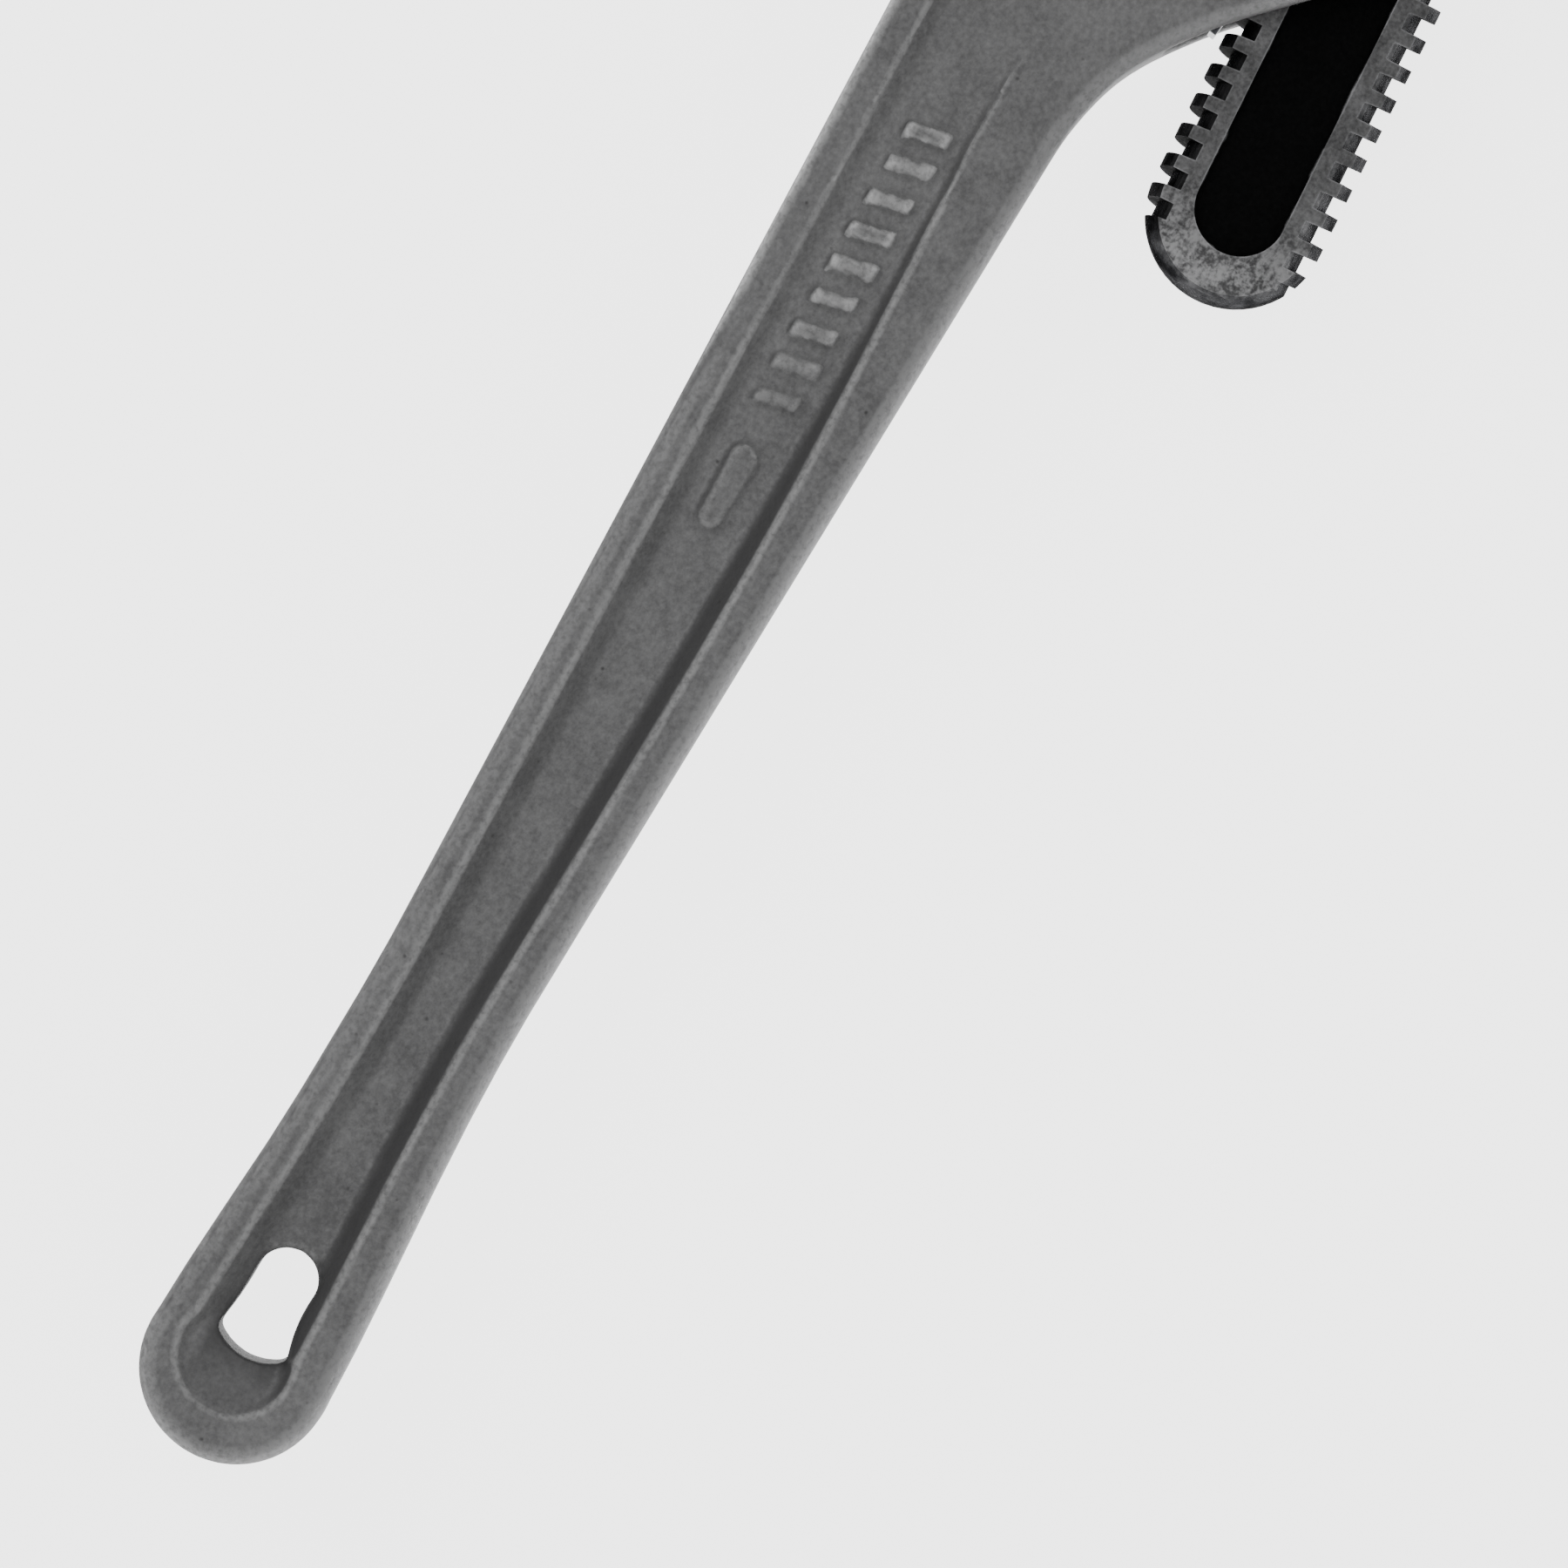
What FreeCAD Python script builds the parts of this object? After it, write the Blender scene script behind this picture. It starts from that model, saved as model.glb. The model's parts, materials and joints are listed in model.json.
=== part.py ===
"""Pipe wrench, straight pattern, 18 inch size, lying flat with its jaws toward +X.

A one-piece cast handle carries the heel jaw on its head and a housing beside it. The threaded shank of
the hook jaw runs through the housing and the adjusting nut, rocks a few degrees in it, and is held
shut by a flat spring and a coil spring. All lengths are in millimetres.

Directions in the sketches of the handle: "along" runs from the handle's end to the jaws, "across"
runs from the handle's centre line toward the shank of the hook jaw, which lies on the -Y side.
"""

import FreeCAD
import Part
import Sketcher

import math
import os

from FreeCAD import Placement, Rotation, Vector

doc = FreeCAD.newDocument("pipe_wrench")

# ---------------------------------------------------------------- driving dimensions

DIMENSIONS = {
    # whole wrench
    "mid_height": 19.0,
    "centre_along": 0.0,
    "centre_across": 0.0,
    # handle casting
    "grip_thickness": 22.0,
    "head_thickness": 29.0,
    "housing_thickness": 38.0,
    "web_thickness": 15.0,
    "rim_height": 2.2,
    "relief_height": 1.0,
    "head_top": 362.0,
    "housing_top": 360.0,
    "outer_side": 66.0,
    # adjusting nut and the window that it turns in
    "nut_along": 323.0,
    "nut_across": 41.0,
    "nut_height": 21.0,
    "nut_diameter": 37.0,
    "window_height": 24.0,
    "knurl_count": 36.0,
    # thread
    "thread_pitch": 5.08,
    "crest_radius": 14.1,
    "root_radius": 11.9,
    "thread_gap": 0.25,
    # hook jaw
    "shank_tilt": 3.4,
    "shank_thickness": 14.0,
    "shank_below_nut": 93.4,
    "hook_thickness": 24.0,
    "panel_width": 14.4,
    "panel_depth": 1.2,
    "jaw_gap": 10.0,
    # heel jaw and its pin
    "heel_width": 39.0,
    "heel_across": 2.5,
    "heel_height": 15.0,
    "heel_thickness": 24.0,
    "tongue_width": 26.0,
    "tongue_depth": 18.0,
    "tongue_thickness": 10.0,
    "pin_radius": 3.0,
    "pin_length": 28.4,
    "pin_depth": 9.0,
    # teeth of both jaws
    "tooth_pitch": 2.7,
    "tooth_depth": 1.7,
    # springs
    "spring_at": 33.0,
    "leaf_gap": 0.3,
    "leaf_thickness": 1.1,
    "leaf_width": 12.0,
    "coil_radius": 3.8,
    "coil_wire": 1.4,
    "coil_length": 16.6,
    "coil_turns": 6.0,
}

sheet = doc.addObject("Spreadsheet::Sheet", "dimensions")
for row, (word, value) in enumerate(DIMENSIONS.items(), start=1):
    sheet.set(f"A{row}", word)
    sheet.set(f"B{row}", str(value))
    sheet.setAlias(f"B{row}", word)
doc.recompute()


def dim(word):
    """The value of one driving dimension."""
    return float(sheet.get(word))


def bind(thing, prop, formula):
    """Ties one property to the dimensions sheet."""
    thing.setExpression(prop, formula)


def cell(word):
    return f"dimensions.{word}"


TILT = math.radians(dim("shank_tilt"))
NUT_ALONG = dim("nut_along")
NUT_ACROSS = dim("nut_across")
HEAD_TOP = dim("head_top")
CREST = dim("crest_radius")
ROOT = dim("root_radius")
PITCH = dim("thread_pitch")


# ---------------------------------------------------------------- drawing helpers


def at(along, across, up=0.0):
    """A point of the handle casting."""
    return Vector(along, -across, up)


def from_shank(length, side):
    """Along and across, on the casting, of a point given on the tilted shank axis from the nut's centre."""
    along = NUT_ALONG + length * math.cos(TILT) - side * math.sin(TILT)
    across = NUT_ACROSS - length * math.sin(TILT) - side * math.cos(TILT)
    return along, across


def to_shank(along, across):
    """The point of the shank's own axes that lies at this (along, across) of the handle casting."""
    ahead = along - NUT_ALONG
    beside = NUT_ACROSS - across
    length = ahead * math.cos(TILT) + beside * math.sin(TILT)
    side = -ahead * math.sin(TILT) + beside * math.cos(TILT)
    return Vector(length, side, 0)


def lines(*points):
    """Straight edges from point to point."""
    return [Part.LineSegment(a, b) for a, b in zip(points, points[1:])]


def arc(a, b, c):
    """A circular edge through three points."""
    return [Part.Arc(a, b, c)]


def spline(points, start=None, end=None):
    """A smooth edge through the points, with its end directions where they are given."""
    curve = Part.BSplineCurve()
    if start is not None and end is not None:
        curve.interpolate(Points=points, InitialTangent=start, FinalTangent=end)
    else:
        curve.interpolate(Points=points)
    return [curve]


def join(sketch, edges):
    """Adds edges that follow one another, tied together where their ends meet."""
    first = sketch.GeometryCount
    for edge in edges:
        sketch.addGeometry(edge, False)
    count = len(edges)
    if count == 1:
        return
    for i in range(count):
        here = first + i
        after = first + (i + 1) % count
        pairs = [(a, b) for a in (1, 2) for b in (1, 2)]
        a, b = min(pairs, key=lambda p: (sketch.getPoint(here, p[0]) - sketch.getPoint(after, p[1])).Length)
        sketch.addConstraint(Sketcher.Constraint("Coincident", here, a, after, b))


def free_sketch(name, edges, plan=True, level=0.0):
    """A sketch of the casting: in plan at a level, or seen from the side (along to the right, up upward)."""
    sketch = doc.addObject("Sketcher::SketchObject", name)
    if plan:
        sketch.Placement = Placement(Vector(0, 0, level), Rotation())
    else:
        sketch.Placement = Placement(Vector(0, 0, 0), Rotation(Vector(1, 0, 0), 90))
    join(sketch, edges)
    return sketch


def extrude(name, sketch, direction, length, symmetric=True):
    thing = doc.addObject("Part::Extrusion", name)
    thing.Base = sketch
    thing.DirMode = "Custom"
    thing.Dir = direction
    thing.LengthFwd = length
    thing.Symmetric = symmetric
    thing.Solid = True
    return thing


def common(name, first, second):
    thing = doc.addObject("Part::MultiCommon", name)
    thing.Shapes = [first, second]
    return thing


def fuse(name, things):
    thing = doc.addObject("Part::MultiFuse", name)
    thing.Shapes = things
    return thing


def cut(name, base, tool):
    thing = doc.addObject("Part::Cut", name)
    thing.Base = base
    thing.Tool = tool
    return thing


def rounded(name, base, radius, chosen):
    """The base with the edges that pass the test rounded."""
    doc.recompute()
    picked = []
    for number, edge in enumerate(base.Shape.Edges, start=1):
        middle = (edge.FirstParameter + edge.LastParameter) / 2
        if chosen(edge.valueAt(middle), edge.tangentAt(middle)):
            picked.append((number, radius, radius))
    thing = doc.addObject("Part::Fillet", name)
    thing.Base = base
    thing.Edges = picked
    return thing


def sloped(name, base, sizes, chosen):
    """The base with the edges that pass the test cut to a slope, by a width and a drop."""
    doc.recompute()
    picked = []
    for number, edge in enumerate(base.Shape.Edges, start=1):
        middle = (edge.FirstParameter + edge.LastParameter) / 2
        if chosen(edge.valueAt(middle), edge.tangentAt(middle)):
            picked.append((number, sizes[0], sizes[1]))
    thing = doc.addObject("Part::Chamfer", name)
    thing.Base = base
    thing.Edges = picked
    return thing


def plane_of(body, role):
    return [o for o in body.Origin.OriginFeatures if o.Role == role][0]


def body_sketch(body, name, plane, edges, level=0.0):
    """A sketch on one of a body's own base planes, lifted by a level."""
    sketch = body.newObject("Sketcher::SketchObject", name)
    sketch.AttachmentSupport = [(plane_of(body, plane), "")]
    sketch.MapMode = "FlatFace"
    if level:
        sketch.AttachmentOffset = Placement(Vector(0, 0, level), Rotation())
    for loop in edges:
        join(sketch, loop)
    return sketch


def pad(body, name, sketch, formula, symmetric=True):
    thing = body.newObject("PartDesign::Pad", name)
    thing.Profile = sketch
    thing.SideType = "Symmetric" if symmetric else "One side"
    bind(thing, "Length", formula)
    return thing


def pocket(body, name, sketch, length, symmetric=True):
    thing = body.newObject("PartDesign::Pocket", name)
    thing.Profile = sketch
    thing.SideType = "Symmetric" if symmetric else "One side"
    thing.Length = length
    return thing


# ---------------------------------------------------------------- handle: outline of the whole casting

ALONG = Vector(1, 0, 0)
UP = Vector(0, 0, 1)
BESIDE = Vector(0, 1, 0)

GRIP = dim("grip_thickness") / 2
HEAD = dim("head_thickness") / 2
HOUSING = dim("housing_thickness") / 2
WEB = dim("web_thickness") / 2
HOUSING_TOP = dim("housing_top")
OUTER_SIDE = dim("outer_side")

# The mouth-side edge runs straight from here to the head, leaning out as the handle widens.
EDGE_START = (98.0, -12.4)
EDGE_LEAN = -0.0297


def mouth_edge(along):
    """How far across the mouth-side edge lies."""
    return EDGE_START[1] + EDGE_LEAN * (along - EDGE_START[0])


EDGE_WAY = at(1, EDGE_LEAN)
BACK_WAY = at(1, 0.0292)
FLARE_WAY = at(1, 1)

mouth_side = spline(
    [at(17, -14.6), at(33, -13.8), at(49, -12.7), at(66, -12.15), at(82, -12.0), at(*EDGE_START)],
    at(1, 0.02),
    EDGE_WAY,
) + lines(at(*EDGE_START), at(330, mouth_edge(330)), at(HEAD_TOP, -19.3))
top_edge = lines(at(HEAD_TOP, -19.3), at(HEAD_TOP, 23), at(HOUSING_TOP, 25), at(HOUSING_TOP, OUTER_SIDE - 8))
outer_edge = (
    arc(
        at(HOUSING_TOP, OUTER_SIDE - 8),
        at(HOUSING_TOP - 2.34, OUTER_SIDE - 2.34),
        at(HOUSING_TOP - 8, OUTER_SIDE),
    )
    + lines(at(HOUSING_TOP - 8, OUTER_SIDE), at(308.5, OUTER_SIDE))
    + arc(at(308.5, OUTER_SIDE), at(305.3, OUTER_SIDE - 0.9), at(302.6, OUTER_SIDE - 2.7))
)
flare = lines(at(302.6, OUTER_SIDE - 2.7), at(271.5, 32.6)) + spline(
    [
        at(271.5, 32.6),
        at(263.2, 25.6),
        at(257.1, 21.5),
        at(252, 19.1),
        at(246, 17.5),
        at(238, 16.6),
    ],
    -FLARE_WAY * 12,
    -BACK_WAY * 12,
)
back_side = lines(at(238, 16.6), at(98, 12.6)) + spline(
    [at(98, 12.6), at(82, 12.2), at(66, 12.4), at(49, 13.3), at(33, 14.4), at(17, 15.1)],
    -BACK_WAY * 14,
    -at(1, -0.02) * 14,
)
round_end = arc(at(17, 15.1), at(0, 0.3), at(17, -14.6))

full_outline = free_sketch(
    "full_outline", mouth_side + top_edge + outer_edge + flare + back_side + round_end
)
full_block = extrude("full_block", full_outline, UP, 2 * HOUSING)
bind(full_block, "LengthFwd", cell("housing_thickness"))


def mirrored_profile(upper):
    """Closes a side profile drawn above the middle plane with its own mirror image below."""
    lower = [e.copy() for e in upper]
    for e in lower:
        e.mirror(Vector(0, 0, 0), Vector(1, 0, 0))
    first = upper[0].value(upper[0].FirstParameter)
    last = upper[-1].value(upper[-1].LastParameter)
    back_lower = []
    for e in reversed(lower):
        turned = e.copy()
        turned.reverse()
        back_lower.append(turned)
    close_right = lines(last, Vector(last.x, -last.y, 0))
    close_left = lines(Vector(first.x, -first.y, 0), first)
    return upper + close_right + back_lower + close_left


# Seen from the side the casting swells from the grip's thickness to the housing's.
full_swell = (
    lines(Vector(-5, GRIP, 0), Vector(212, GRIP, 0))
    + spline(
        [
            Vector(212, GRIP, 0),
            Vector(245, GRIP + 1.0, 0),
            Vector(275, GRIP + 4.2, 0),
            Vector(298, HOUSING - 1.0, 0),
            Vector(316, HOUSING, 0),
        ],
        Vector(20, 0, 0),
        Vector(20, 0, 0),
    )
    + lines(Vector(316, HOUSING, 0), Vector(HEAD_TOP + 5, HOUSING, 0))
)
full_profile = free_sketch("full_profile", mirrored_profile(full_swell), plan=False)
full_side = extrude("full_side", full_profile, BESIDE, 260)
casting = common("casting", full_block, full_side)
EDGE_RADIUS = 3.0


def on_outline(point, way):
    """True on the front and back edges of the casting, below its toothed end."""
    level = abs(point.z) > GRIP - 0.1
    across_seam = abs(way.y) > 0.99 and (abs(point.x - 212) < 1 or abs(point.x - 316) < 1)
    return level and abs(way.z) < 0.5 and not across_seam and point.x < HEAD_TOP - 2.5


rounded_casting = rounded("rounded_casting", casting, EDGE_RADIUS, on_outline)


# ---------------------------------------------------------------- handle: lower faces of the head

LOWERED = 21.0
lowering_outline = free_sketch(
    "lowering_outline",
    lines(
        at(250, -40),
        at(HEAD_TOP + 5, -40),
        at(HEAD_TOP + 5, LOWERED),
        at(290, LOWERED),
        at(250, LOWERED - 8),
        at(250, -40),
    ),
)
lowering_front = extrude("lowering_front", lowering_outline, UP, HOUSING, symmetric=False)
lowering_front.Placement = Placement(Vector(0, 0, HEAD), Rotation())
lowering_back = extrude("lowering_back", lowering_outline, -UP, HOUSING, symmetric=False)
lowering_back.Placement = Placement(Vector(0, 0, -HEAD), Rotation())
bind(lowering_front, "Placement.Base.z", f"{cell('head_thickness')} / 2")
bind(lowering_back, "Placement.Base.z", f"-{cell('head_thickness')} / 2")


def on_lowered_corner(point, way):
    """True where the lowered face meets the side of the housing."""
    return abs(abs(point.z) - HEAD) < 0.01 and abs(way.x) > 0.9 and point.y < 0


lowering = fuse(
    "lowering",
    [
        rounded("soft_lowering_front", lowering_front, 3.0, on_lowered_corner),
        rounded("soft_lowering_back", lowering_back, 3.0, on_lowered_corner),
    ],
)
lowered_casting = cut("lowered_casting", rounded_casting, lowering)
RIM_WIDTH = 5.4

# ---------------------------------------------------------------- handle: I-beam recess with sloped walls

WALL_SLOPE = 3.4 / (GRIP - WEB)
RECESS_END = 252.0


def recess_edges(level):
    """The recess's outline at a level above the middle plane; its walls slope in toward the web."""
    inset = (GRIP - level) * WALL_SLOPE
    left_end = at(RECESS_END, mouth_edge(RECESS_END) + RIM_WIDTH + 0.1 + inset)
    right_end = at(RECESS_END, 3.4 - inset)
    left_start = at(20, -9.1 + inset)
    right_start = at(20, 7.9 - inset)
    left_straight = at(98, -7.6 + inset)
    left = spline(
        [left_start, at(33, -8.5 + inset), at(49, -7.7 + inset), at(74, -7.2 + inset), left_straight],
        at(14, 0.4),
        EDGE_WAY * 14,
    )
    left += lines(left_straight, left_end)
    right = spline(
        [
            right_end,
            at(225, 5.2 - inset),
            at(200, 6.7 - inset),
            at(165, 7.7 - inset),
            at(130, 7.4 - inset),
            at(100, 6.6 - inset),
            at(75, 6.0 - inset),
            at(50, 6.6 - inset),
            at(33, 7.4 - inset),
            right_start,
        ]
    )
    bottom = arc(right_start, at(7.4 + inset, -0.6), left_start)
    return left + lines(left_end, right_end) + right + bottom


def recess_block(name, side):
    """The tapered space of the recess on one side of the casting, before its floor is shaped."""
    high = free_sketch(f"{name}_mouth", recess_edges(GRIP + 3), level=side * (GRIP + 3))
    low = free_sketch(f"{name}_foot", recess_edges(WEB), level=side * WEB)
    block = doc.addObject("Part::Loft", name)
    block.Sections = [high, low]
    block.Solid = True
    block.Ruled = True
    return block


FLOOR = [
    (26.0, WEB),
    (150.0, WEB),
    (175.0, WEB + 0.5),
    (210.0, WEB + 1.9),
    (245.0, GRIP + 0.4),
    (260.0, GRIP + 2.6),
]


def floor_edges(side, lift, roof):
    """A side view of the space above the recess floor, up to a roof."""
    scoop = spline(
        [Vector(7.2, GRIP + 0.2 + lift, 0), Vector(12, WEB + 2.2 + lift, 0), Vector(26, WEB + lift, 0)],
        Vector(5, -9, 0),
        Vector(16, 0, 0),
    )
    level = lines(Vector(26, WEB + lift, 0), Vector(150, WEB + lift, 0))
    rise = spline(
        [Vector(x, z + lift, 0) for x, z in FLOOR[1:]],
        Vector(25, 0, 0),
        Vector(15, 2.4, 0),
    )
    last = Vector(FLOOR[-1][0], FLOOR[-1][1] + lift, 0)
    first = Vector(7.2, GRIP + 0.2 + lift, 0)
    shape = scoop + level + rise + lines(last, Vector(last.x, roof, 0), Vector(first.x, roof, 0), first)
    if side < 0:
        for edge in shape:
            edge.mirror(Vector(0, 0, 0), Vector(1, 0, 0))
    return shape


def recess(name, side):
    block = recess_block(f"{name}_walls", side)
    profile = free_sketch(f"{name}_floor_profile", floor_edges(side, 0.0, GRIP + 6), plan=False)
    above_floor = extrude(f"{name}_above_floor", profile, BESIDE, 120)
    return common(name, block, above_floor)


recesses = fuse("recesses", [recess("front_recess", 1), recess("back_recess", -1)])
beam_casting = cut("beam_casting", lowered_casting, recesses)

# ---------------------------------------------------------------- handle: plain raised relief on the floor

RELIEF_ACROSS = -1.6
RELIEF_HALF = 3.3
RIB_LEAN = 1.5


def rib(start, width):
    """One slanted bar of the relief."""
    return lines(
        at(start, RELIEF_ACROSS - RELIEF_HALF),
        at(start + width, RELIEF_ACROSS - RELIEF_HALF),
        at(start + width + RIB_LEAN, RELIEF_ACROSS + RELIEF_HALF),
        at(start + RIB_LEAN, RELIEF_ACROSS + RELIEF_HALF),
        at(start, RELIEF_ACROSS - RELIEF_HALF),
    )


RIB_COUNT = 9
RIB_START = 182.5
RIB_STEP = 5.8
RIB_WIDTH = 2.3
relief_outline = free_sketch("relief_outline", rib(RIB_START, RIB_WIDTH))
for number in range(1, RIB_COUNT):
    join(relief_outline, rib(RIB_START + number * RIB_STEP, RIB_WIDTH))
join(
    relief_outline,
    lines(at(164, -3.6), at(174, -3.6))
    + arc(at(174, -3.6), at(176, -1.6), at(174, 0.4))
    + lines(at(174, 0.4), at(164, 0.4))
    + arc(at(164, 0.4), at(162, -1.6), at(164, -3.6)),
)
relief_block = extrude("relief_block", relief_outline, UP, 2 * HOUSING)
RELIEF = dim("relief_height")
relief_swell = spline(
    [Vector(x, z + RELIEF, 0) for x, z in FLOOR[1:]],
    Vector(25, 0, 0),
    Vector(15, 2.4, 0),
)
relief_profile = free_sketch("relief_profile", mirrored_profile(relief_swell), plan=False)
relief_side = extrude("relief_side", relief_profile, BESIDE, 120)
relief = common("relief", relief_block, relief_side)
# ---------------------------------------------------------------- handle: raised rim along the mouth side

RIM_FOOT = 8.2
RIM_DROP = 2.2
RIM_START = 150.0
rim_outline = free_sketch(
    "rim_outline",
    lines(
        at(RIM_START, mouth_edge(RIM_START)),
        at(330, mouth_edge(330)),
        at(HEAD_TOP, -19.3),
        at(HEAD_TOP, -19.3 + RIM_FOOT),
        at(330, mouth_edge(330) + RIM_FOOT),
        at(RIM_START, mouth_edge(RIM_START) + RIM_FOOT),
        at(RIM_START, mouth_edge(RIM_START)),
    ),
)
rim_block = extrude("rim_block", rim_outline, UP, 2 * HOUSING)
RIM_TOP = HEAD + dim("rim_height")
rim_swell = spline(
    [
        Vector(RIM_START - 4, GRIP - 2.8, 0),
        Vector(184, GRIP - 0.7, 0),
        Vector(215, GRIP + 0.7, 0),
        Vector(245, GRIP + 2.5, 0),
        Vector(272, RIM_TOP - 0.6, 0),
        Vector(290, RIM_TOP, 0),
    ],
    Vector(20, 0.9, 0),
    Vector(20, 0, 0),
) + lines(Vector(290, RIM_TOP, 0), Vector(HEAD_TOP + 5, RIM_TOP, 0))
rim_profile = free_sketch("rim_profile", mirrored_profile(rim_swell), plan=False)
rim_side = extrude("rim_side", rim_profile, BESIDE, 260)
sharp_rim = common("sharp_rim", rim_block, rim_side)


def on_rim_outside(point, way):
    """True on the edges along the mouth side of the rim."""
    beside = -point.y - mouth_edge(min(point.x, 330.0))
    return abs(point.z) > 6 and abs(way.x) > 0.9 and beside < RIM_FOOT / 2


def on_rim_inside(point, way):
    """True on the edges along the inner side of the rim."""
    beside = -point.y - mouth_edge(min(point.x, 330.0))
    return abs(point.z) > 6 and abs(way.x) > 0.9 and beside > RIM_FOOT - 2.5


soft_rim = rounded("soft_rim", sharp_rim, 1.4, on_rim_outside)
rim = sloped("rim", soft_rim, (RIM_FOOT - RIM_WIDTH, RIM_DROP), on_rim_inside)
marked_casting = fuse("marked_casting", [beam_casting, relief, rim])

# ---------------------------------------------------------------- handle: openings through the casting

hang_hole = extrude(
    "hang_hole",
    free_sketch(
        "hang_hole_outline",
        arc(at(18.4, -4.6), at(16.95, 1.1), at(18.6, 5.5))
        + arc(at(18.6, 5.5), at(19.3, 6.15), at(20.4, 6.2))
        + arc(at(20.4, 6.2), at(25.4, 5.1), at(30.8, 5.15))
        + arc(at(30.8, 5.15), at(35.2, 0.3), at(30.0, -4.7))
        + arc(at(30.0, -4.7), at(25.0, -4.85), at(19.8, -5.5))
        + arc(at(19.8, -5.5), at(18.9, -5.3), at(18.4, -4.6)),
    ),
    UP,
    4 * HOUSING,
)

WINDOW = dim("window_height")
WINDOW_WALL = 21.0
window = doc.addObject("Part::Box", "nut_window")
bind(window, "Length", cell("window_height"))
window.Width = 80
window.Height = 6 * HOUSING
bind(window, "Placement.Base.x", f"{cell('nut_along')} - {cell('window_height')} / 2")
window.Placement.Base.y = -WINDOW_WALL - 80
window.Placement.Base.z = -3 * HOUSING

SLACK = 0.7
NEAR_SWING = 0.9
FAR_SWING = 4.6
PASSAGE_HALF = 7.9
ring_passage = extrude(
    "ring_passage",
    free_sketch(
        "ring_passage_outline",
        lines(
            at(*from_shank(8, CREST + SLACK)),
            at(*from_shank(60, CREST + SLACK)),
            at(*from_shank(60, -CREST - SLACK - FAR_SWING)),
            at(*from_shank(8, -CREST - SLACK - NEAR_SWING)),
            at(*from_shank(8, CREST + SLACK)),
        ),
    ),
    UP,
    2 * PASSAGE_HALF,
)
SPRING_ROOM = 7.2
shoulder_passage = extrude(
    "shoulder_passage",
    free_sketch(
        "shoulder_passage_outline",
        lines(
            at(*from_shank(-8, CREST + SPRING_ROOM)),
            at(*from_shank(-80, CREST + SPRING_ROOM)),
            at(*from_shank(-80, -CREST - SLACK)),
            at(*from_shank(-8, -CREST - SLACK)),
            at(*from_shank(-8, CREST + SPRING_ROOM)),
        ),
    ),
    UP,
    2 * PASSAGE_HALF,
)

SPRING_AT = dim("spring_at")
LEAF_BACK = CREST + dim("leaf_gap") + dim("leaf_thickness")
COIL_BOTTOM = LEAF_BACK + dim("coil_length") + 0.1
COIL_BORE = dim("coil_radius") + dim("coil_wire") / 2 + 0.6


def across_shank(length, side, up=0.0):
    """A placement on the tilted shank, with its own Z turned to point away from the shank toward the mouth."""
    along, across = from_shank(length, side)
    turn = Rotation(UP, math.degrees(TILT)) * Rotation(Vector(1, 0, 0), -90)
    return Placement(at(along, across, up), turn)


spring_bore = doc.addObject("Part::Cylinder", "spring_bore")
spring_bore.Radius = COIL_BORE
spring_bore.Height = COIL_BOTTOM - CREST - 2
spring_bore.Placement = across_shank(-SPRING_AT, CREST + 2)

TONGUE_HALF = dim("tongue_width") / 2
HEEL_ACROSS = dim("heel_across")
heel_slot = doc.addObject("Part::Box", "heel_slot")
heel_slot.Length = dim("tongue_depth") + 10.1
heel_slot.Width = 2 * TONGUE_HALF + 0.2
heel_slot.Height = dim("tongue_thickness") + 0.1
heel_slot.Placement.Base = at(
    HEAD_TOP - dim("tongue_depth") - 0.1,
    HEEL_ACROSS + TONGUE_HALF + 0.1,
    -dim("tongue_thickness") / 2 - 0.05,
)
pin_hole = doc.addObject("Part::Cylinder", "pin_hole")
bind(pin_hole, "Radius", cell("pin_radius"))
pin_hole.Height = 6 * HOUSING
pin_hole.Placement.Base = at(HEAD_TOP - dim("pin_depth"), HEEL_ACROSS, -3 * HOUSING)

openings = fuse(
    "openings",
    [hang_hole, window, ring_passage, shoulder_passage, spring_bore, heel_slot, pin_hole],
)
open_casting = cut("open_casting", marked_casting, openings)
handle = doc.addObject("Part::Refine", "handle")
handle.Source = open_casting
doc.recompute()

# ---------------------------------------------------------------- hook jaw


def teeth(first, count, level, depth):
    """Saw teeth along the across direction at one level along the handle, from the mouth inward."""
    step = dim("tooth_pitch")
    points = []
    for n in range(count):
        start = first + n * step
        points.append((level + depth, start))
        points.append((level, start + 0.25))
    points.append((level + depth, first + count * step))
    return points


body = doc.addObject("PartDesign::Body", "hook_jaw")
body.Label = "hook_jaw"
hook_jaw = body

BELOW = dim("shank_below_nut")
THREAD_TOP = 30.0
screw_profile = body_sketch(
    body,
    "screw_profile",
    "XZ_Plane",
    [
        arc(
            Vector(-BELOW, 0, 0),
            Vector(-BELOW + CREST * (1 - math.sqrt(0.5)), CREST * math.sqrt(0.5), 0),
            Vector(-BELOW + CREST, CREST, 0),
        )
        + lines(
            Vector(-BELOW + CREST, CREST, 0),
            Vector(THREAD_TOP, CREST, 0),
            Vector(THREAD_TOP, 0, 0),
            Vector(-BELOW, 0, 0),
        )
    ],
)
screw = body.newObject("PartDesign::Revolution", "screw_blank")
screw.Profile = screw_profile
screw.ReferenceAxis = (plane_of(body, "X_Axis"), [""])
screw.Angle = 360

GROOVE_START = -87.68
GROOVE_TOP = 1.45
GROOVE_ROOT = 1.35


def ridge_profile(middle, half_outer, half_inner, outer, inner):
    """A trapezoid across a thread, outer side away from the axis."""
    return lines(
        Vector(middle - half_inner, inner, 0),
        Vector(middle - half_outer, outer, 0),
        Vector(middle + half_outer, outer, 0),
        Vector(middle + half_inner, inner, 0),
        Vector(middle - half_inner, inner, 0),
    )


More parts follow.
